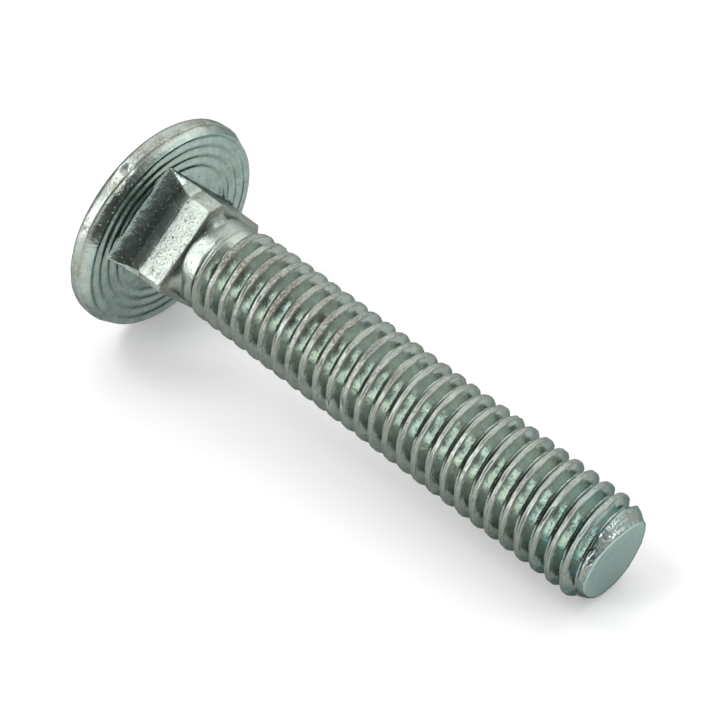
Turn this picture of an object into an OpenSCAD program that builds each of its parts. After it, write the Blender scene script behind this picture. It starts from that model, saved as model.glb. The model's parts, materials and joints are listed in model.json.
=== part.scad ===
// Carriage bolt with a domed head, a square neck and a fully threaded
// shank, 3/8 in thread by 2 in long, in millimetres.
// It lies on its side as it comes to rest: head rim and shank end touch z = 0.
// The bolt itself is drawn along +X from the head's bearing plane, with its
// thread as a plain cylinder at the major diameter.

/* [Head] */
// diameter of the head's rim
head_d = 20.66; // [17:0.1:26]
// height from the bearing plane to the top of the dome
head_h = 5; // [4.2:0.1:7]
// height of the rim's straight side
rim_wall = 0.98; // [0.5:0.02:1.4]
// radius of the rolled-over edge between dome and rim
rim_round = 0.6; // [0.3:0.05:1]
// how far the rim's lower edge stands back from the bearing plane
rim_setback = 0.57; // [0.3:0.01:0.9]
// distance from the rim inwards to the outermost ring under the head
ring_inset = 0.43; // [0.3:0.01:1.5]
// distance from one ring to the next
ring_step = 1; // [0.7:0.05:1.2]
// width of each ring's flat crest
ring_land = 0.26; // [0.15:0.01:0.4]
// depth of the grooves between the rings
ring_depth = 0.2; // [0.1:0.01:0.25]
// number of grooves
ring_count = 4; // [1:1:4]

/* [Square neck] */
// width across the flats
neck_w = 9.35; // [8:0.05:11.5]
// length of the square below the head
neck_len = 4.8; // [3.2:0.1:8]
// how much of each sharp corner is missing, measured towards the axis
corner_cut = 0.61; // [0.3:0.01:1]
// length next to the head over which the corners fill out
neck_fill = 2; // [1:0.1:2.8]
// outward flare of each flat where it meets the head
neck_flare = 0.28; // [0.1:0.02:0.5]
// length of that flare
neck_flare_len = 0.8; // [0.4:0.05:1.2]
// bevel on the square's end edge
neck_bevel = 0.2; // [0.1:0.05:0.4]

/* [Shank] */
// length from the bearing plane to the end
length = 50.4; // [30:0.1:120]
// major diameter of the thread, over its crests
thread_d = 9.35; // [7.5:0.05:11]
// distance from one thread crest to the next
pitch = 1.5875; // [1:0.0125:2.5]
// step down from the thread's crests to the plain part by the neck
body_step = 0.4; // [0.2:0.05:0.8]
// length of that plain part
plain_len = 1.5; // [1:0.1:6]
// length over which the thread rises from the plain part
runout_len = 1; // [0.5:0.1:3]
// step down from the thread's crests to the rim of the end face
end_step = 0.925; // [0.5:0.025:1.5]

/* [Rest pose] */
// how far the square neck is turned about the bolt's length
roll = 40.4; // [0:0.1:90]

/* [Hidden] */
$fn = 96;
head_r = head_d / 2;
thread_r = thread_d / 2;
body_r = thread_r - body_step;
end_r = thread_r - end_step;
// centre of the rolled-over edge: distance from the axis, and along the bolt
edge_r = head_r - rim_round;
edge_x = -rim_setback - rim_wall;
// the dome runs through its top and blends into the rolled-over edge
dome_rise = head_h + edge_x;
dome_r = (pow(dome_rise, 2) + pow(edge_r, 2) - pow(rim_round, 2))
  / (2 * (dome_rise - rim_round));
dome_x = dome_r - head_h;
// a point beyond the dome, on the line from its centre through the edge's
blend = [edge_r, edge_x - dome_x] / (dome_r - rim_round);
blend_end = blend * (dome_r + 2) + [0, dome_x];
// the outermost ring, and the round cutter that leaves one groove
ring_r = head_r - ring_inset;
groove_w = ring_step - ring_land;
groove_r = (pow(groove_w / 2, 2) + pow(ring_depth, 2)) / (2 * ring_depth);
first_groove_r = ring_r - ring_land - groove_w / 2;
// root of neck and shank, sunk below the deepest groove to join the head
root = ring_depth + rim_setback;
// distance from the axis to the cut corners, and to the full ones
corner_r = neck_w / sqrt(2) - corner_cut;
corner_full_r = (neck_w / 2 + neck_flare) * sqrt(2);
// where the thread is full, and where the end's bevel, one thread long, starts
thread_x = neck_len + plain_len + runout_len;
bevel_x = length - pitch;
// the bolt tips until the rim's edge and the last full thread both touch
tilt = atan((head_r - thread_r) / (bevel_x + rim_setback));
lift = head_r * cos(tilt) - rim_setback * sin(tilt);
low_x = dome_x * cos(tilt) - dome_r;
high_x = length * cos(tilt) + end_r * sin(tilt);

zinc = [0.62, 0.67, 0.64];

// turns a profile of (radius, distance along the bolt) about the bolt's axis
module turned() {
  rotate([0, 90, 0]) rotate_extrude() children();
}

// half of the whole head's section, without its grooves
module head_blank_section() {
  intersection() {
    translate([0, dome_x]) circle(r = dome_r);
    polygon([[0, dome_x], [0, -head_h - 1], blend_end]);
  }
  translate([edge_r, edge_x]) circle(r = rim_round);
  polygon([[0, edge_x], [head_r, edge_x], [head_r, -rim_setback],
           [ring_r, 0], [0, 0]]);
}

// the head, with raised bearing rings on its flat side
module head() {
  turned() difference() {
    head_blank_section();
    translate([-1, 0]) square([head_r + 2, dome_x + 1]);
    for (i = [0 : ring_count - 1])
      translate([first_groove_r - i * ring_step, groove_r - ring_depth])
        circle(r = groove_r);
  }
}

// square prism whose flats are w apart at one end and w2 at the other
module square_taper(x0, x1, w, w2) {
  side = [[x0, -w / 2], [x1, -w2 / 2], [x1, w2 / 2], [x0, w / 2]];
  wide = 2 * max(w, w2);
  intersection() {
    linear_extrude(wide, center = true) polygon(side);
    rotate([90, 0, 0]) linear_extrude(wide, center = true) polygon(side);
  }
}

// the square, flared at the head, with corners that fill out only near it
module neck() {
  bevel_start = neck_len - neck_bevel;
  slope = neck_flare / neck_flare_len;
  intersection() {
    union() {
      square_taper(-root, bevel_start, neck_w, neck_w);
      square_taper(-root, neck_flare_len,
                   neck_w + 2 * slope * (neck_flare_len + root), neck_w);
      square_taper(bevel_start, neck_len, neck_w, neck_w - 2 * neck_bevel);
    }
    turned() polygon([[0, -root], [ring_r, -root], [ring_r, 0],
                      [corner_full_r, 0], [corner_r, neck_fill],
                      [corner_r, neck_len], [0, neck_len]]);
  }
}

// shank at its major diameter, plain next to the neck, bevelled at the end
module shank() {
  turned() polygon([[0, -root], [body_r, -root],
                    [body_r, neck_len + plain_len], [thread_r, thread_x],
                    [thread_r, bevel_x], [end_r, length], [0, length]]);
}

module carriage_bolt() {
  color(zinc)
    translate([-(low_x + high_x) / 2, 0, lift])
      rotate([0, tilt, 0]) rotate([roll, 0, 0]) {
        head();
        neck();
        shank();
      }
}

carriage_bolt();
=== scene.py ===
import json
from math import asin, atan2, ceil, cos, exp, hypot, pi, radians, sin, sqrt, tan, tau

import bmesh
import bpy
from bpy.props import FloatProperty, FloatVectorProperty, IntProperty, PointerProperty
from mathutils import Matrix, Vector, noise


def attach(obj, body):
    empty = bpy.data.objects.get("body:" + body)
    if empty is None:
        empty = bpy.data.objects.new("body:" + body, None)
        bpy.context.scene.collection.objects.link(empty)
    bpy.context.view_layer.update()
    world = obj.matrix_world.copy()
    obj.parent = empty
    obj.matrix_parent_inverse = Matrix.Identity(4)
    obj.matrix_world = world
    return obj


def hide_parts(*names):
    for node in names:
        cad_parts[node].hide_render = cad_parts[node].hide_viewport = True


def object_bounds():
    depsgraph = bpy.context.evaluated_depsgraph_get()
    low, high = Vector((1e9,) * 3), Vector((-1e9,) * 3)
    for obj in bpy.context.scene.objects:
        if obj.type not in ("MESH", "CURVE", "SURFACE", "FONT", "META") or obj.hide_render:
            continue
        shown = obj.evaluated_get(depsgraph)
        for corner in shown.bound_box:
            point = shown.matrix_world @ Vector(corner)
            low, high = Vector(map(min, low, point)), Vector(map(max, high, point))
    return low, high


# A zinc-plated carriage bolt, lying on its head's rim and its shank's end.
# It is modelled in the bolt's own frame: +X runs from the plane that the head
# bears on to the shank's end, and angles turn from +Y towards +Z.
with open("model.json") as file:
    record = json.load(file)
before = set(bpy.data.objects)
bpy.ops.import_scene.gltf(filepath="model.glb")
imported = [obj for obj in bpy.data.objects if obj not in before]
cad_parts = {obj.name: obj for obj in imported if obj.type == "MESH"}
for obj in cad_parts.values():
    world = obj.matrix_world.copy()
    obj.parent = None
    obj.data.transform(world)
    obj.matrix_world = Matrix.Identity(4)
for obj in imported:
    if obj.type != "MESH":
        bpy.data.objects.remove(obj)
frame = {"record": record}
cad_low, cad_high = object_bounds()

bl_info = {
    "name": "Carriage bolt",
    "version": (1, 0, 0),
    "blender": (4, 5, 0),
    "location": "3D View > Sidebar > Carriage bolt",
    "description": "Models a zinc-plated carriage bolt and its studio",
    "category": "Add Mesh",
}

MM = 0.001
# Steps round the head and along each of its outline's curves.
HEAD_STEPS = 256
DOME_STEPS = 14
EDGE_STEPS = 6
RING_STEPS = 8
# Steps round one turn of the thread.
TURN_STEPS = 128
# Steps along the neck, and across its flats and its cut corners.
NECK_STEPS = 10
FLAT_STEPS = 24
CORNER_STEPS = 4
# Radius of the rim's lower edge.
LOWER_EDGE = 0.16 * MM
# Slope of the thread's flanks, from straight out.
FLANK = radians(30)
# How far behind a crest's middle its fold lies, as a share of the crest's width.
FOLD = 0.18
# How far the shank reaches back into the neck.
OVERLAP = 0.4 * MM
# Edges sharper than this are not smoothed.
SHARP = radians(38)

# Where the bolt lies in the shared frame, and its main sizes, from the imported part.
MOUNTS = {mount["name"]: mount for mount in frame["record"]["mounts"]}
AXIS = Vector(MOUNTS["end_face"]["axis"]).normalized()
END = Vector(MOUNTS["end_face"]["pos_m"])
LENGTH = (END - Vector(MOUNTS["bearing"]["pos_m"])).dot(AXIS)
START = END - AXIS * LENGTH
HEAD_R = cad_high.y
THREAD_R = MOUNTS["thread"]["dims"]["r_mm"] * MM
# From the bolt's own frame, which starts in the bearing plane, to the shared one.
SIDE = Vector((0, 1, 0))
TURN = Matrix((AXIS, SIDE, AXIS.cross(SIDE))).transposed()
PLACE = Matrix.Translation(START) @ TURN.to_4x4()


def length(name, description, millimetres):
    """A size in the sidebar, given here in millimetres."""
    return FloatProperty(
        name=name, description=description, default=millimetres * MM, unit="LENGTH", precision=5
    )


class HeadSizes(bpy.types.PropertyGroup):
    """Sizes of the domed head"""

    radius: length("Rim radius", "Radius of the head's rim", HEAD_R / MM)
    height: length("Height", "From the bearing plane to the top of the dome", 5.0)
    wall: length("Rim wall", "Height of the rim's straight side", 0.98)
    edge_round: length("Edge round", "Radius between dome and rim", 0.6)
    setback: length("Setback", "How far the rim's lower edge stands back", 0.8)
    ring_inset: length("Ring inset", "From the rim inwards to the outermost ring", 0.48)
    ring_step: length("Ring step", "From one bearing ring to the next", 1.0)
    ring_depth: length("Ring depth", "Depth of the grooves between the rings", 0.13)
    ring_shift: length("Ring shift", "How far the rings lie off the head's centre", 0.1)
    ring_count: IntProperty(name="Grooves", description="Number of grooves", default=4, min=1)


class NeckSizes(bpy.types.PropertyGroup):
    """Sizes of the square neck"""

    width: length("Width", "Across the square's flats", 9.35)
    length: length("Length", "Of the square, below the head", 4.8)
    fill: length("Fill", "Length by the head over which the corners fill out", 2.0)
    flare: length("Flare", "How far the upper and lower flats flare out by the head", 0.1)
    fillet: length("Fillet", "Radius of the curve that the other two flats take to the head", 4.4)
    sink: length("Sink", "How far the fillet's foot lies below the bearing plane", 0.16)
    crease: FloatProperty(
        name="Crease", description="Slope at which that curve leaves the flat",
        default=radians(18), subtype="ANGLE",
    )
    foot: FloatProperty(
        name="Foot", description="Slope at which that curve meets the head",
        default=radians(60), subtype="ANGLE",
    )
    bevel: length("Bevel", "On the square's end edge", 0.08)
    end_step: length("End step", "Height of the square's flat end, around the round", 0.75)
    cone: length("Cone", "Over which the square's end turns round", 0.9)
    cut_near: length("Upper near corner", "Missing from the upper near corner", 1.05)
    cut_low: length("Lower near corner", "Missing from the lower near corner", 0.5)
    cut_far: length("Far corners", "Missing from the two far corners", 0.7)
    softness: length("Softness", "Radius of the worn edges", 0.09)
    roll: FloatProperty(
        name="Roll", description="Turn of the square about the bolt", default=radians(40.4),
        subtype="ANGLE",
    )


class ShankSizes(bpy.types.PropertyGroup):
    """Sizes of the threaded shank"""

    pitch: length("Pitch", "From one thread crest to the next", 1.5875)
    depth: length("Depth", "From a thread's crest to its root", 0.915)
    crest: length("Crest", "Width of a thread's crest", 0.47)
    seam: length("Seam", "Depth of the fold along the rolled crest", 0.07)
    wear: length("Wear", "Depth of the chips along the crests", 0.075)
    plain_step: length("Plain step", "From the crests down to the plain part", 0.4)
    runout: length("Run-out", "Where the thread starts to rise, from the bearing plane", 6.1)
    runout_length: length("Run-out length", "Over which the thread rises", 1.7)
    groove_lag: length("Groove lag", "How much later the groove starts to sink", 0.95)
    runout_skew: length("Run-out skew", "How much later it rises on the upper side", 0.75)
    end_step: length("End step", "From the crests down to the end face's rim", 0.925)
    phase: length("Phase", "Where the first crest crosses the side", 0.199)


class Finish(bpy.types.PropertyGroup):
    """The plating's colours and roughness"""

    zinc: FloatVectorProperty(
        name="Zinc", description="The plating's reflected colour", subtype="COLOR",
        default=(0.335, 0.378, 0.343), min=0, max=1,
    )
    burnished: FloatVectorProperty(
        name="Burnished", description="Where crests and edges are rubbed bright", subtype="COLOR",
        default=(0.262, 0.279, 0.255), min=0, max=1,
    )
    dirt: FloatVectorProperty(
        name="Dirt", description="Rust-brown dirt in the thread's seam", subtype="COLOR",
        default=(0.17, 0.15, 0.115), min=0, max=1,
    )
    roughness: FloatProperty(
        name="Roughness", description="Of the clean plating", default=0.19, min=0, max=1,
        subtype="FACTOR",
    )


class Studio(bpy.types.PropertyGroup):
    """The camera and the floor"""

    azimuth: FloatProperty(
        name="Azimuth", description="The camera's bearing", default=radians(42.39), subtype="ANGLE"
    )
    elevation: FloatProperty(
        name="Elevation", description="The camera's height", default=radians(43.2), subtype="ANGLE"
    )
    distance: length("Distance", "From the camera to its target", 197.9)
    target: FloatVectorProperty(
        name="Target", description="What the camera points at", unit="LENGTH",
        default=(-1.46 * MM, 1.36 * MM, 7 * MM),
    )
    lens: FloatProperty(
        name="Lens", description="Focal length on a 36 mm sensor", default=116.15, unit="CAMERA"
    )
    floor: length("Floor", "Radius of the floor", 600)


def polar(point):
    """A point's radius and angle about the bolt's axis."""
    return hypot(point.y, point.z), atan2(point.z, point.y)


def set_radius(point, radius):
    """Moves a point straight out from or in towards the bolt's axis."""
    scale = radius / hypot(point.y, point.z)
    point.y *= scale
    point.z *= scale


def grain(point, size, seed):
    """Smooth noise from -1 to 1 whose lumps are about size across, other ones for each seed."""
    return noise.noise(point / size + Vector((seed * 7.3, seed * 3.1, -seed * 5.7)))


def bump(angle, centre, width):
    """1 at an angle round the bolt, falling to 0 on both sides of it."""
    apart = (angle - radians(centre) + pi) % tau - pi
    return exp(-((apart / radians(width)) ** 2))


def dent(point, x, angle, radius, size):
    """1 in the middle of a dent on the bolt, falling to 0 around it."""
    angle = radians(angle)
    centre = Vector((x, radius * cos(angle), radius * sin(angle)))
    return exp(-(((point - centre).length / size) ** 2))


def ease(value, low, high):
    """0 below low and 1 above high, with a smooth step between."""
    part = min(max((value - low) / (high - low), 0), 1)
    return part * part * (3 - 2 * part)


def arc(centre, radius, first, last, steps):
    """Points (along, out) on an arc between two angles, which turn from along to out."""
    turns = [first + (last - first) * i / steps for i in range(steps + 1)]
    return [(centre[0] + radius * cos(t), centre[1] + radius * sin(t)) for t in turns]


def add_outline(mesh, outline):
    """An open chain of edges through the points (along, out)."""
    corners = [mesh.verts.new((x, r, 0)) for x, r in outline]
    chain = [mesh.edges.new(pair) for pair in zip(corners, corners[1:])]
    return corners + chain


def close_seams(mesh, gap=0.002 * MM):
    """Merges what meets, and turns every face outwards."""
    bmesh.ops.remove_doubles(mesh, verts=mesh.verts, dist=gap)
    bmesh.ops.recalc_face_normals(mesh, faces=mesh.faces)


def head_outline(head):
    """Half the head's section, from the top of the dome round to the middle below."""
    edge_r = head.radius - head.edge_round
    edge_x = -head.setback - head.wall
    rise = head.height + edge_x
    dome_r = (rise**2 + edge_r**2 - head.edge_round**2) / (2 * (rise - head.edge_round))
    dome_x = dome_r - head.height
    blend = pi - asin(edge_r / (dome_r - head.edge_round))
    outline = arc((dome_x, 0), dome_r, pi, blend, DOME_STEPS)
    outline += arc((edge_x, edge_r), head.edge_round, blend, pi / 2, EDGE_STEPS)[1:]
    wall = head.wall - LOWER_EDGE
    outline += [(edge_x + wall * part, head.radius) for part in (0.25, 0.5, 0.75)]
    corner = (-head.setback - LOWER_EDGE, head.radius - LOWER_EDGE)
    outline += arc(corner, LOWER_EDGE, pi / 2, 0.2, 3)
    ring_r = head.radius - head.ring_inset
    outline.append((-head.setback * 0.6, head.radius - 0.2 * MM))
    outline.append((-head.setback * 0.25, ring_r + 0.1 * MM))
    for i in range(head.ring_count * RING_STEPS + 1):
        turns = i / RING_STEPS
        low = head.ring_depth * (1 - cos(tau * turns)) / 2
        outline.append((-low, ring_r - turns * head.ring_step))
    return outline + [(0, 0)]


def make_head(mesh, head):
    """The domed head, with raised bearing rings on its flat side."""
    bmesh.ops.spin(
        mesh, geom=add_outline(mesh, head_outline(head)), cent=(0, 0, 0), axis=(1, 0, 0),
        angle=tau, steps=HEAD_STEPS, use_merge=True,
    )
    close_seams(mesh)
    roughen_head(mesh, head)


def rim_nick(point, head, size):
    """1 in the middle of the nick at the top of the rim, falling to 0 around it."""
    return dent(point, -1.1 * MM, 61, head.radius, size)


def roughen_head(mesh, head):
    """Shifts and softens the rings, and wears and dents the rim."""
    ring_r = head.radius - head.ring_inset
    for vert in mesh.verts:
        radius, angle = polar(vert.co)
        below = ease(vert.co.x, -head.setback - head.wall, -head.setback)
        ringed = below * ease(ring_r + 0.1 * MM - radius, 0, 0.6 * MM)
        vert.co.x += ringed * (0.05 * grain(vert.co, 1.8 * MM, 6) - 0.05) * MM
        vert.co.z -= head.ring_shift * ringed * ease(radius, 0, ring_r)
        edge = ease(radius, ring_r - 0.2 * MM, head.radius)
        worn = 0.5 - 0.5 * cos(2 * angle)
        vert.co.x -= edge * below * (0.3 - 0.25 * worn + 0.07 * grain(vert.co, 3 * MM, 7)) * MM
        rough = 0.04 * grain(vert.co, 0.8 * MM, 2) + 0.025 * grain(vert.co, 0.35 * MM, 8)
        lumps = 0.06 * grain(vert.co, 2.6 * MM, 1) + (0.3 + 0.7 * below) * rough
        lumps -= 0.3 * dent(vert.co, -1.3 * MM, 115, head.radius, 0.45 * MM)
        lumps -= 0.2 * rim_nick(vert.co, head, 0.3 * MM)
        lumps -= 0.15 * dent(vert.co, -1.2 * MM, 172, head.radius, 0.4 * MM)
        if radius > 0:
            set_radius(vert.co, radius + edge * (lumps - 0.05) * MM)


def neck_corners(neck, x, shrink):
    """The square's eight corners (side, up), unturned, at a distance along the bolt."""
    sunk = x + neck.sink
    side = neck.width / 2 - shrink + neck.flare * max(1 - max(x, 0) / (8 * neck.flare), 0) ** 2
    slope = max(sin(neck.foot) - max(sunk, 0) / neck.fillet, sin(neck.crease))
    rise = neck.fillet * (cos(neck.crease) - sqrt(1 - slope**2))
    face = neck.width / 2 - shrink + rise + 5 * max(-sunk, 0)
    fill = min(max(x / neck.fill, 0.08), 1)
    near, low, far = neck.cut_near * fill, neck.cut_low * fill, neck.cut_far * fill
    return [Vector(corner) for corner in (
        (side, face - near), (side - near, face), (low - side, face), (-side, face - low),
        (-side, far - face), (far - side, -face), (side - far, -face), (side, far - face),
    )]


def neck_section(neck, x, shrink):
    """Points round the square, close together and rounded at its corners."""
    corners = neck_corners(neck, x, shrink)
    turn = Matrix.Rotation(neck.roll, 2)
    points = []
    for i, corner in enumerate(corners):
        before = corners[i - 1] - corner
        after = corners[(i + 1) % 8] - corner
        soft = min(neck.softness, before.length * 0.4, after.length * 0.4)
        before, along = before.normalized() * soft, after.normalized() * soft
        start, end = corner + along, corner + after - along
        steps = FLAT_STEPS if i % 2 else CORNER_STEPS
        points += [corner + before, corner + (before + along) / 4]
        points += [start.lerp(end, step / steps) for step in range(steps)]
    return [turn @ point for point in points]


def neck_stations(neck):
    """Where the square's sections lie along the bolt, and how much each is shrunk."""
    foot_x = -neck.sink
    crease_x = neck.fillet * (sin(neck.foot) - sin(neck.crease)) + foot_x
    before = crease_x - 0.03 * MM
    after = crease_x + 0.03 * MM
    last = neck.length - neck.bevel
    parts = [i / NECK_STEPS for i in range(NECK_STEPS + 1)]
    places = [foot_x - 0.3 * MM]
    places += [foot_x + (before - foot_x) * part for part in parts]
    places.append(crease_x)
    places += [after + (last - after) * part for part in parts]
    stations = [(x, 0) for x in places]
    for bend in (pi / 4, pi / 2):
        stations.append((last + neck.bevel * sin(bend), neck.bevel * (1 - cos(bend))))
    return stations


def neck_end(neck, shank, square):
    """Sections over which the square's last one steps down and turns round."""
    round_r = THREAD_R - shank.plain_step - 0.08 * MM
    sections = []
    for part in (0, 0.12, 0.25, 0.4, 0.6, 0.8, 1):
        section = []
        for point in square:
            excess = max(point.length - round_r - neck.end_step, 0) * (1 - part) ** 2
            section.append(point.normalized() * (round_r + excess))
        sections.append((neck.length + neck.cone * part, section))
    return sections


def make_neck(mesh, neck, shank):
    """The square neck: its corners fill out by the head, and two flats curve into it."""
    stations = neck_stations(neck)
    sections = [(x, neck_section(neck, x, shrink)) for x, shrink in stations]
    sections += neck_end(neck, shank, sections[-1][1])
    rings = []
    for x, section in sections:
        ring = bmesh.ops.create_circle(mesh, segments=len(section), radius=neck.width / 2)["verts"]
        for vert, point in zip(ring, section):
            vert.co = (x, point.x, point.y)
        rings.append(list({edge for vert in ring for edge in vert.link_edges}))
    for near, far in zip(rings, rings[1:]):
        bmesh.ops.bridge_loops(mesh, edges=near + far)
    bmesh.ops.contextual_create(mesh, geom=rings[0])
    bmesh.ops.contextual_create(mesh, geom=rings[-1])
    close_seams(mesh)
    roughen_neck(mesh, neck)


def roughen_neck(mesh, neck):
    """Waves in the flats, chips along the corners and the end edge, and a burr by the head."""
    for vert in mesh.verts:
        radius = polar(vert.co)[0]
        end = ease(vert.co.x, neck.length - 0.45 * MM, neck.length - 0.1 * MM)
        end -= ease(vert.co.x, neck.length, neck.length + 0.1 * MM)
        corner = ease(radius, neck.width * 0.53, neck.width * 0.6)
        chips = max(grain(vert.co, 0.45 * MM, 9), -0.2) * 0.09
        chips += grain(vert.co, 0.2 * MM, 10) * 0.03
        wavy = 0.04 * grain(vert.co, 1.3 * MM, 11) + 0.012 * grain(vert.co, 0.4 * MM, 15)
        burr = dent(vert.co, 0.6 * MM, 174, neck.width * 0.66, 1.1 * MM)
        wavy += burr * (0.3 * grain(vert.co, 0.5 * MM, 16) - 0.1)
        set_radius(vert.co, radius - (wavy + chips * max(end, corner * 0.6)) * MM)


def thread_outline(shank):
    """One thread's section, from root to root, as (along from its crest, out)."""
    crest, depth, root = shank.crest, shank.depth, shank.pitch / 2
    shoulder = 0.11 * MM
    foot = depth - 0.12 * MM
    run = (foot - shoulder) * tan(FLANK)
    back, front = -crest * 0.66, crest * 0.44
    behind = [
        (-root, depth), (back - run - 0.06 * MM, depth - 0.04 * MM), (back - run, foot),
        (back - run / 10, shoulder + foot / 11), (back, shoulder),
        (-crest * 0.58, 0.055 * MM), (-crest * 0.43, 0.02 * MM), (-crest * 0.27, 0.035 * MM),
        (-crest * FOLD, shank.seam),
    ]
    ahead = [
        (-crest * 0.08, 0.03 * MM), (crest * 0.04, 0.005 * MM), (crest * 0.2, 0.01 * MM),
        (crest * 0.34, 0.045 * MM), (front, shoulder), (front + run / 10, shoulder + foot / 11),
        (front + run, foot), (front + run + 0.06 * MM, depth - 0.04 * MM), (root, depth),
    ]
    return [(x, THREAD_R - low) for x, low in behind + ahead]


def from_crest(shank, x, angle):
    """Distance along the bolt from the nearest thread crest."""
    turns = (x - shank.phase) / shank.pitch - angle / tau
    return (turns - round(turns)) * shank.pitch


def groove_pit(point, shank, size):
    """1 in the middle of the pit in one groove, falling to 0 around it."""
    return dent(point, 18.8 * MM, 103, THREAD_R - shank.depth, size)


def dirty_side(x, angle):
    """1 on the side that is dirty and battered near the head, falling to 0 around it."""
    return bump(angle, 108, 34) * (1 - ease(x, LENGTH * 0.35, LENGTH * 0.7))


def end_cone(shank, x, angle):
    """The most that the end's bevel leaves of the radius, which differs round the bolt."""
    step = shank.end_step + (0.42 * bump(angle, 84, 32) - 0.9 * bump(angle, 158, 33)) * MM
    step -= 0.5 * bump(angle, 295, 42) * MM
    return THREAD_R - max(step, 0) * max(x - LENGTH + shank.pitch, 0) / shank.pitch


def crest_chips(point, shank, off_crest, torn):
    """Depth of the chips at a point of the thread, torn by the end and knocked at two places."""
    chips = max(grain(point, 0.42 * MM, 3), -0.1) * shank.wear
    chips += (grain(point, 0.2 * MM, 12) + grain(point, 2.5 * MM, 4)) * shank.wear / 4
    chips += torn * 0.04 * MM * max(grain(point, 0.5 * MM, 5), -0.3)
    fold = 1 - ease(abs(off_crest + shank.crest * FOLD), 0, shank.crest * 0.12)
    chips -= fold * shank.seam * (0.45 + 0.9 * grain(point, 1.5 * MM, 14))
    chips += 0.35 * MM * dent(point, 22.9 * MM, 184, THREAD_R, 0.5 * MM)
    return chips + 0.35 * MM * dent(point, 24.2 * MM, 171, THREAD_R, 0.5 * MM)


def shape_thread(mesh, shank, roll):
    """Fades the thread out by the neck, bevels it at the end and batters its crests."""
    plain_r = THREAD_R - shank.plain_step
    for vert in mesh.verts:
        x = vert.co.x
        radius, angle = polar(vert.co)
        start = shank.runout + shank.runout_skew * cos(angle - roll)
        rise = ease(x, start, start + shank.runout_length)
        sink = ease(x - shank.groove_lag, start, start + shank.runout_length * 0.8)
        off_crest = from_crest(shank, x, angle)
        # The half of each crest next to the head is widened, most on the dirty side.
        wide = 0.1 + 0.5 * dirty_side(x, angle)
        wide *= 1 - ease(THREAD_R - radius, 0.15 * MM, 0.25 * MM)
        vert.co.x += wide * min(off_crest, 0)
        # By the neck, crests and grooves fade into the plain part.
        radius = plain_r + (radius - plain_r) * (rise if radius > plain_r else sink)
        torn = ease(x, LENGTH - shank.pitch * 1.1, LENGTH - shank.pitch * 0.8)
        chips = crest_chips(vert.co, shank, off_crest, torn)
        near_crest = 1 - ease(abs(off_crest), shank.crest * 0.45, shank.crest * 0.8)
        vert.co.x += near_crest * rise * shank.wear * grain(vert.co, 1.1 * MM, 13)
        cone = end_cone(shank, x, angle)
        at_cone = ease(radius, cone - 0.1 * MM, cone)
        radius = min(radius, cone) - chips * max(near_crest * rise, at_cone * torn)
        radius -= 0.2 * MM * groove_pit(vert.co, shank, 0.3 * MM)
        set_radius(vert.co, radius)


def make_shank(mesh, shank, neck):
    """The threaded shank: one turn is spun along the helix, then repeated and trimmed."""
    first = shank.phase + shank.pitch * 2
    root_x = neck.length - OVERLAP
    outline = [(first + x, out) for x, out in thread_outline(shank)]
    bmesh.ops.spin(
        mesh, geom=add_outline(mesh, outline), cent=(0, 0, 0), axis=(1, 0, 0),
        dvec=(shank.pitch / TURN_STEPS, 0, 0), angle=tau, steps=TURN_STEPS, use_merge=False,
    )
    turn = mesh.verts[:] + mesh.edges[:] + mesh.faces[:]
    for i in range(1, ceil((LENGTH - first) / shank.pitch) + 2):
        copy = bmesh.ops.duplicate(mesh, geom=turn)["geom"]
        verts = [part for part in copy if isinstance(part, bmesh.types.BMVert)]
        bmesh.ops.translate(mesh, vec=(shank.pitch * i, 0, 0), verts=verts)
    close_seams(mesh, 0.004 * MM)
    tip = [edge for edge in mesh.edges
           if all(LENGTH - shank.pitch < v.co.x < LENGTH + 0.3 * MM for v in edge.verts)]
    bmesh.ops.subdivide_edges(mesh, edges=tip, cuts=1, use_grid_fill=True)
    shape_thread(mesh, shank, neck.roll)
    for x, way in ((root_x, -1), (LENGTH, 1)):
        bmesh.ops.bisect_plane(
            mesh, geom=mesh.verts[:] + mesh.edges[:] + mesh.faces[:], dist=0.0005 * MM,
            plane_co=(x, 0, 0), plane_no=(way, 0, 0), clear_outer=True,
        )
    close_seams(mesh, 0.001 * MM)
    close_end(mesh, root_x, (0.5,), 0)
    close_end(mesh, LENGTH, (0.975, 0.9, 0.75, 0.55, 0.35, 0.15), 0.05 * MM)


def close_end(mesh, x, shares, drop):
    """Closes an open end with rings of faces, and sets its rim back by drop."""
    rim = [edge for edge in mesh.edges
           if edge.is_boundary and all(abs(v.co.x - x) < 0.01 * MM for v in edge.verts)]
    for vert in {v for edge in rim for v in edge.verts}:
        vert.co.x -= drop
    last = 1
    for share in shares:
        made = bmesh.ops.extrude_edge_only(mesh, edges=rim)["geom"]
        verts = [part for part in made if isinstance(part, bmesh.types.BMVert)]
        for vert in verts:
            vert.co = (x, vert.co.y * share / last, vert.co.z * share / last)
        rim = [part for part in made if isinstance(part, bmesh.types.BMEdge)]
        last = share
    bmesh.ops.contextual_create(mesh, geom=rim)


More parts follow.
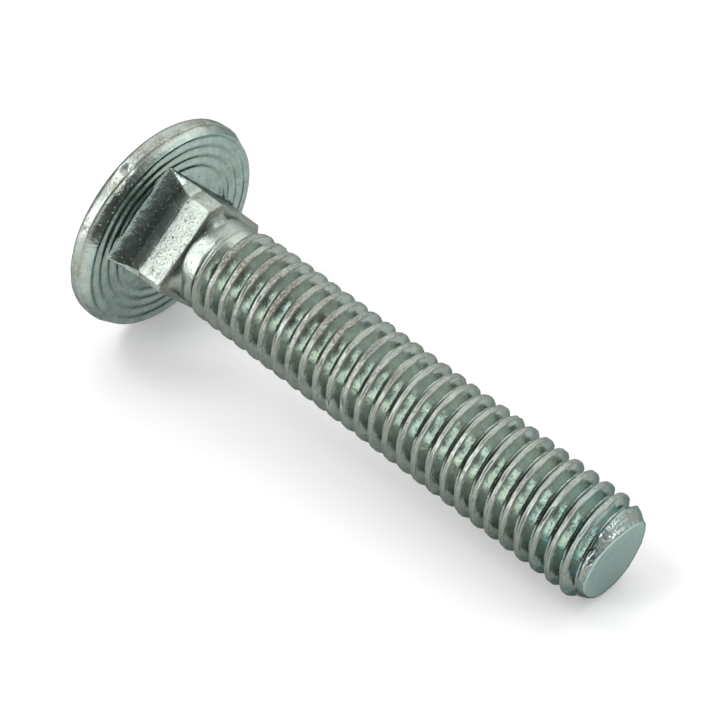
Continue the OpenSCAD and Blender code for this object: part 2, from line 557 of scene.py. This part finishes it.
def thread_wear(point, shank):
    """How rubbed and how dirty the thread is at a point."""
    radius, angle = polar(point)
    crest = ease(radius, THREAD_R - 0.16 * MM, THREAD_R - 0.09 * MM)
    side = dirty_side(point.x, angle)
    spread = ease(radius, THREAD_R - 0.5 * MM, THREAD_R - 0.15 * MM) * side
    spread *= max(0.4 + grain(point, 1.9 * MM, 18), 0)
    tip = ease(point.x, LENGTH - 1.3 * MM, LENGTH - 1.1 * MM)
    tip -= ease(point.x, LENGTH - 0.1 * MM, LENGTH)
    crest *= 0.75 + 0.4 * grain(point, 1.6 * MM, 17)
    plain = 0.55 * (1 - ease(point.x, shank.runout + 0.8 * MM, shank.runout + 2.4 * MM))
    rubbed = max(crest, plain, tip * bump(angle, 62, 30))
    crest *= 0.3 + 1.1 * side * max(0.9 + 1.3 * grain(point, 2.1 * MM, 19), 0.2)
    return rubbed, max(crest, spread, 0.35 * tip * bump(angle, 118, 24))


def neck_wear(point, neck):
    """How rubbed and how dirty the square and the plain part are at a point."""
    end = ease(point.x, neck.length - 0.4 * MM, neck.length - 0.15 * MM)
    end -= ease(point.x, neck.length, neck.length + 0.1 * MM)
    corner = ease(polar(point)[0], neck.width * 0.48, neck.width * 0.5)
    return 0.55, 0.6 * end * corner


def rim_wear(point, head):
    """How rubbed and how dirty the head's rim is at a point."""
    rim = ease(polar(point)[0], head.radius - 0.5 * MM, head.radius - 0.1 * MM)
    return 0.5 * rim, rim * max(0.3 + grain(point, 1.5 * MM, 20), 0)


def mark_wear(mesh, head, neck, shank):
    """Stores how rubbed and how dirty each place is, for the finish to read."""
    rubbed = mesh.verts.layers.float.new("rubbed")
    dirty = mesh.verts.layers.float.new("dirty")
    for vert in mesh.verts:
        if vert.co.x > shank.runout:
            wear = thread_wear(vert.co, shank)
        elif vert.co.x > neck.length * 0.3:
            wear = neck_wear(vert.co, neck)
        elif vert.co.x < -head.setback * 0.9:
            wear = rim_wear(vert.co, head)
        else:
            wear = (0, 0)
        hole = max(groove_pit(vert.co, shank, 0.35 * MM), rim_nick(vert.co, head, 0.4 * MM))
        vert[rubbed] = wear[0]
        vert[dirty] = max(wear[1], 3 * hole)


# How much paler the plating is in patches.
PALER = 1.2
# Tints that the plating's colour is multiplied by; the last is painted shade for the lower side.
COOL = (0.80, 0.90, 1, 1)
WARM = (1, 0.98, 0.84, 1)
BLUE = (0.78, 0.94, 1, 1)
TEAL = (0.9, 0.98, 0.99, 1)
LOWER_SHADE_TINT = (0.74, 0.75, 0.73, 1)
# Colours of the end face, whose own blue-green is made pale as a painted reflection, of glints, of
# pits, and of reflections at a grazing angle.
END_FACE_AND_SHEEN = (0.58, 0.72, 0.68, 1)
GLINT = (0.43, 0.43, 0.395, 1)
PIT = (0.08, 0.09, 0.085, 1)
GRAZING = (0.25, 0.28, 0.28, 1)
# Where the bolt's lower side points, in its own frame, along which it is darkened as painted
# shade.
LOWER_SIDE = (0, -0.98, -0.19)


class Graph:
    """Adds nodes to one tree in few words."""

    def __init__(self, tree):
        self.tree = tree
        tree.nodes.clear()

    def add(self, kind, inputs=None, **settings):
        """A node with its settings, and its inputs linked to sockets or set to values."""
        made = self.tree.nodes.new(kind)
        for name, value in settings.items():
            setattr(made, name, value)
        for name, value in (inputs or {}).items():
            if isinstance(value, bpy.types.NodeSocket):
                self.tree.links.new(value, made.inputs[name])
            else:
                made.inputs[name].default_value = value
        return made

    def maths(self, operation, first, second, third=0.0):
        """The result of one operation on two or three numbers or sockets."""
        made = self.add("ShaderNodeMath", {0: first, 1: second, 2: third}, operation=operation)
        return made.outputs[0]

    def step(self, value, low, high):
        """0 below low and 1 above high, smooth between."""
        made = self.add(
            "ShaderNodeMapRange", {0: value, 1: low, 2: high}, interpolation_type="SMOOTHSTEP"
        )
        return made.outputs[0]

    def along(self, vector, direction):
        """How far the vector reaches in the direction."""
        made = self.add("ShaderNodeVectorMath", {0: vector, 1: direction}, operation="DOT_PRODUCT")
        return made.outputs["Value"]

    def noise(self, where, size, detail, rough=0.5):
        """Smooth noise whose lumps are about size across."""
        made = self.add(
            "ShaderNodeTexNoise",
            {"Vector": where, "Scale": 1 / size, "Detail": detail, "Roughness": rough},
        )
        return made.outputs["Fac"]

    def blend(self, share, first, second, kind="MIX"):
        """The first colour, with a share of it replaced or tinted by the second."""
        made = self.add(
            "ShaderNodeMix", {0: share, 6: first, 7: second}, data_type="RGBA", blend_type=kind
        )
        return made.outputs[2]


def clean_colour(graph, finish, where, patch):
    """The clean plating's colour: paler in patches, tinted in broad ones and by place, darkened
    along the lower side as painted shade, and paled on the end face as a painted reflection.
    """
    zinc = (*finish.zinc, 1)
    pale = (*[min(c * PALER, 1) for c in finish.zinc], 1)
    colour = graph.blend(graph.step(patch, 0.35, 0.7), zinc, pale)
    tint = graph.add("ShaderNodeValToRGB", {"Fac": graph.noise(where, 2.2, 3)})
    cool, warm = tint.color_ramp.elements
    cool.position, cool.color = 0.35, COOL
    warm.position, warm.color = 0.68, WARM
    colour = graph.blend(0.3, colour, tint.outputs[0], "MULTIPLY")
    # Blue towards the end, teal beneath the head, and painted shade along the lower side.
    reach = graph.add("ShaderNodeSeparateXYZ", {0: where}).outputs[0]
    blue = graph.maths("MULTIPLY", graph.step(reach, 41, 49), graph.step(patch, 0.42, 0.6))
    colour = graph.blend(blue, colour, BLUE, "MULTIPLY")
    root = graph.maths("SUBTRACT", graph.step(reach, -0.4, -0.15), graph.step(reach, 1.7, 2.5))
    colour = graph.blend(root, colour, TEAL, "MULTIPLY")
    # Painted shade: the lower side darkens from the neck's end on.
    painted_shade = graph.step(graph.along(where, LOWER_SIDE), 2.6, 4.2)
    painted_shade = graph.maths("MULTIPLY", painted_shade, graph.step(reach, 4, 6))
    colour = graph.blend(painted_shade, colour, LOWER_SHADE_TINT, "MULTIPLY")
    # The end face: its own blue-green, made pale as a painted reflection.
    face = graph.step(reach, LENGTH / MM - 0.02, LENGTH / MM - 0.005)
    return graph.blend(face, colour, END_FACE_AND_SHEEN)


def worn_colour(graph, finish, clean, rubbed, fine, dirt, pit):
    """Rubbed crests and edges, with glints, over the clean colour, then dirt and pits."""
    rub = graph.maths("MULTIPLY", rubbed, graph.step(fine, 0.4, 0.62))
    colour = graph.blend(rub, clean, (*finish.burnished, 1))
    glint = graph.maths("MULTIPLY", rubbed, graph.step(fine, 0.55, 0.64))
    colour = graph.blend(glint, colour, GLINT)
    colour = graph.blend(dirt, colour, (*finish.dirt, 1))
    return graph.blend(graph.maths("MULTIPLY", pit, 0.55), colour, PIT)


def plating_relief(graph, patch, lump, fine, rubbed, pit):
    """Small lumps and pits in the plating, with more grit where it is rubbed."""
    height = graph.maths("MULTIPLY_ADD", lump, 0.5, patch)
    grit = graph.maths("MULTIPLY_ADD", rubbed, 0.6, 0.12)
    height = graph.maths("ADD", height, graph.maths("MULTIPLY", fine, grit))
    height = graph.maths("MULTIPLY_ADD", pit, -0.5, height)
    relief = graph.add(
        "ShaderNodeBump", {"Height": height, "Strength": 0.8, "Distance": 0.05 * MM},
    )
    return relief.outputs[0]


def zinc_plate(finish):
    """Bright zinc plating, rubbed on crests and edges and dirty in the thread's seam."""
    material = bpy.data.materials.new("zinc_plate")
    material.use_nodes = True
    graph = Graph(material.node_tree)
    # Places in the bolt's own frame, in millimetres.
    where = graph.add("ShaderNodeTexCoord").outputs["Object"]
    where = graph.add(
        "ShaderNodeMapping",
        {"Vector": where, "Location": START, "Rotation": TURN.to_euler(), "Scale": (MM, MM, MM)},
        vector_type="TEXTURE",
    ).outputs[0]
    rubbed = graph.add("ShaderNodeAttribute", attribute_name="rubbed").outputs["Fac"]
    dirty = graph.add("ShaderNodeAttribute", attribute_name="dirty").outputs["Fac"]
    patch = graph.noise(where, 0.8, 3, 0.6)
    lump = graph.noise(where, 0.3, 2, 0.6)
    fine = graph.noise(where, 0.12, 3, 0.7)
    pit = graph.maths("MULTIPLY_ADD", rubbed, 0.04, graph.noise(where, 0.27, 2, 0.7))
    pit = graph.step(pit, 0.64, 0.72)
    speck = graph.step(graph.noise(where, 0.22, 4, 0.75), 0.4, 0.6)
    dirt = graph.maths("MULTIPLY", dirty, speck)
    clean = clean_colour(graph, finish, where, patch)
    rough = graph.maths("MULTIPLY_ADD", patch, 0.16, finish.roughness - 0.08)
    rough = graph.maths("MULTIPLY_ADD", rubbed, 0.24, rough)
    shader = graph.add(
        "ShaderNodeBsdfPrincipled",
        {"Base Color": worn_colour(graph, finish, clean, rubbed, fine, dirt, pit),
         "Roughness": graph.maths("MULTIPLY_ADD", dirt, 0.2, rough),
         "Normal": plating_relief(graph, patch, lump, fine, rubbed, pit),
         "Metallic": graph.maths("MULTIPLY_ADD", dirt, -0.6, 1.0),
         "Specular Tint": GRAZING},
    )
    graph.add("ShaderNodeOutputMaterial", {"Surface": shader.outputs[0]})
    return material


def keep_mesh(name, mesh, material):
    """A finished piece, with its place in its mesh, smooth but for its sharp edges."""
    data = bpy.data.meshes.new(name)
    mesh.to_mesh(data)
    mesh.free()
    data.polygons.foreach_set("use_smooth", [True] * len(data.polygons))
    data.set_sharp_from_angle(angle=SHARP)
    data.materials.append(material)
    piece = bpy.data.objects.new(name, data)
    bpy.context.scene.collection.objects.link(piece)
    return piece


class MakeBolt(bpy.types.Operator):
    """Models the bolt: domed head, square neck and threaded shank, in one piece"""

    bl_idname = "mesh.carriage_bolt"
    bl_label = "Make the bolt"

    def execute(self, context):
        scene = context.scene
        whole = bmesh.new()
        parts = ((make_head, (scene.bolt_head,)),
                 (make_neck, (scene.bolt_neck, scene.bolt_shank)),
                 (make_shank, (scene.bolt_shank, scene.bolt_neck)))
        for make, sizes in parts:
            part = bmesh.new()
            make(part, *sizes)
            part_data = bpy.data.meshes.new("part")
            part.to_mesh(part_data)
            part.free()
            whole.from_mesh(part_data)
            bpy.data.meshes.remove(part_data)
        mark_wear(whole, scene.bolt_head, scene.bolt_neck, scene.bolt_shank)
        bmesh.ops.transform(whole, matrix=PLACE, verts=whole.verts)
        bolt = keep_mesh("bolt", whole, zinc_plate(scene.bolt_finish))
        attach(bolt, "root")
        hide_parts("carriage_bolt")
        return {"FINISHED"}


WHITE = (1, 1, 1, 1)
# The floor's own colour.
CARD = (0.8, 0.8, 0.8, 1)
# Light from all round, and the studio's walls: where each lies, the nearness to that
# direction at which it starts and is full, and how much light it adds.
AMBIENT = 0.16
WALLS = (
    ((-0.31, 0.66, 0.68), 0.48, 0.97, 1.6),
    ((0.6, 0.45, 0.66), 0.55, 0.95, 0.45),
    ((0.48, -0.64, 0.6), 0.75, 0.97, -0.08),
)
# How far the lights stand from the bolt, in metres.
LIGHT_DISTANCE = 0.6
# Width of the camera's sensor, in millimetres.
SENSOR = 36


def floor_finish():
    """White card, which the camera sees as pure white outside the shadow."""
    material = bpy.data.materials.new("white_card")
    material.use_nodes = True
    graph = Graph(material.node_tree)
    rays = graph.add("ShaderNodeLightPath")
    seen = graph.maths("MAXIMUM", rays.outputs["Is Camera Ray"], rays.outputs["Is Glossy Ray"])
    seen = graph.maths("MAXIMUM", seen, rays.outputs["Is Transmission Ray"])
    card = graph.add("ShaderNodeBsdfDiffuse", {"Color": CARD})
    lift = graph.add(
        "ShaderNodeEmission",
        {"Color": WHITE, "Strength": graph.maths("MULTIPLY", seen, 1 - CARD[0])},
    )
    both = graph.add("ShaderNodeAddShader", {0: card.outputs[0], 1: lift.outputs[0]})
    graph.add("ShaderNodeOutputMaterial", {"Surface": both.outputs[0]})
    return material


def soft_sky(world):
    """A dim studio with bright, soft walls behind and to the right of the bolt."""
    world.use_nodes = True
    graph = Graph(world.node_tree)
    towards = graph.add("ShaderNodeTexCoord").outputs["Generated"]
    level = AMBIENT
    for direction, start, full, strength in WALLS:
        share = graph.step(graph.along(towards, direction), start, full)
        level = graph.maths("MULTIPLY_ADD", share, strength, level)
    sky = graph.add("ShaderNodeBackground", {"Color": WHITE, "Strength": level})
    graph.add("ShaderNodeOutputWorld", {"Surface": sky.outputs[0]})


def add_softbox(studio, name, bearing, elevation, size, radiance):
    """A soft light of an even radiance, aimed at the bolt from two angles in degrees."""
    width, height = size
    data = bpy.data.lights.new(name, "AREA")
    data.shape = "RECTANGLE"
    data.size = width
    data.size_y = height
    data.energy = radiance * pi * width * height
    light = bpy.data.objects.new(name, data)
    flat = cos(radians(elevation))
    towards = Vector((
        flat * cos(radians(bearing)), flat * sin(radians(bearing)), sin(radians(elevation)),
    ))
    light.location = Vector(studio.target) + towards * LIGHT_DISTANCE
    light.rotation_euler = towards.to_track_quat("Z", "Y").to_euler()
    bpy.context.scene.collection.objects.link(light)


def add_camera(scene, studio):
    """The camera, aimed at the studio's target from its bearing and height."""
    lens = bpy.data.cameras.new("camera")
    lens.lens = studio.lens
    lens.sensor_width = SENSOR
    camera = bpy.data.objects.new("camera", lens)
    flat = cos(studio.elevation)
    back = Vector((
        flat * sin(studio.azimuth), -flat * cos(studio.azimuth), sin(studio.elevation),
    ))
    camera.location = Vector(studio.target) + back * studio.distance
    camera.rotation_euler = back.to_track_quat("Z", "Y").to_euler()
    scene.collection.objects.link(camera)
    scene.camera = camera


class MakeStudio(bpy.types.Operator):
    """Adds the floor, the soft lights and the camera"""

    bl_idname = "mesh.carriage_bolt_studio"
    bl_label = "Make the studio"

    def execute(self, context):
        scene = context.scene
        studio = scene.bolt_studio
        floor = bmesh.new()
        bmesh.ops.create_circle(floor, cap_ends=True, segments=96, radius=studio.floor)
        keep_mesh("floor", floor, floor_finish())
        scene.world = bpy.data.worlds.new("studio")
        soft_sky(scene.world)
        add_softbox(studio, "key low", bearing=243, elevation=19, size=(0.19, 0.34), radiance=6.3)
        add_softbox(studio, "key high", bearing=247, elevation=49, size=(0.21, 0.28), radiance=5)
        add_softbox(studio, "upper", bearing=205, elevation=57, size=(0.2, 0.17), radiance=7.5)
        add_softbox(studio, "edge", bearing=37, elevation=27, size=(0.13, 0.13), radiance=6.5)
        add_softbox(studio, "lower", bearing=227, elevation=10, size=(0.1, 0.2), radiance=5)
        add_camera(scene, studio)
        scene.view_settings.view_transform = "Standard"
        return {"FINISHED"}


class BoltPanel(bpy.types.Panel):
    """Lists the sizes, the finish, the studio and the operators in the sidebar"""

    bl_idname = "VIEW3D_PT_carriage_bolt"
    bl_label = "Carriage bolt"
    bl_space_type = "VIEW_3D"
    bl_region_type = "UI"
    bl_category = "Carriage bolt"

    def draw(self, context):
        for name in SETTINGS:
            group = getattr(context.scene, name)
            box = self.layout.box()
            for setting in group.__annotations__:
                box.prop(group, setting)
        for operator in (MakeBolt, MakeStudio):
            self.layout.operator(operator.bl_idname)


SETTINGS = {
    "bolt_head": HeadSizes,
    "bolt_neck": NeckSizes,
    "bolt_shank": ShankSizes,
    "bolt_finish": Finish,
    "bolt_studio": Studio,
}
CLASSES = (*SETTINGS.values(), MakeBolt, MakeStudio, BoltPanel)


def register():
    for each in CLASSES:
        bpy.utils.register_class(each)
    for name, kind in SETTINGS.items():
        setattr(bpy.types.Scene, name, PointerProperty(type=kind))


def unregister():
    for name in SETTINGS:
        delattr(bpy.types.Scene, name)
    for each in reversed(CLASSES):
        bpy.utils.unregister_class(each)


def main():
    """Makes the bolt and its studio."""
    register()
    bpy.ops.mesh.carriage_bolt()
    bpy.ops.mesh.carriage_bolt_studio()


if __name__ == "__main__":
    main()
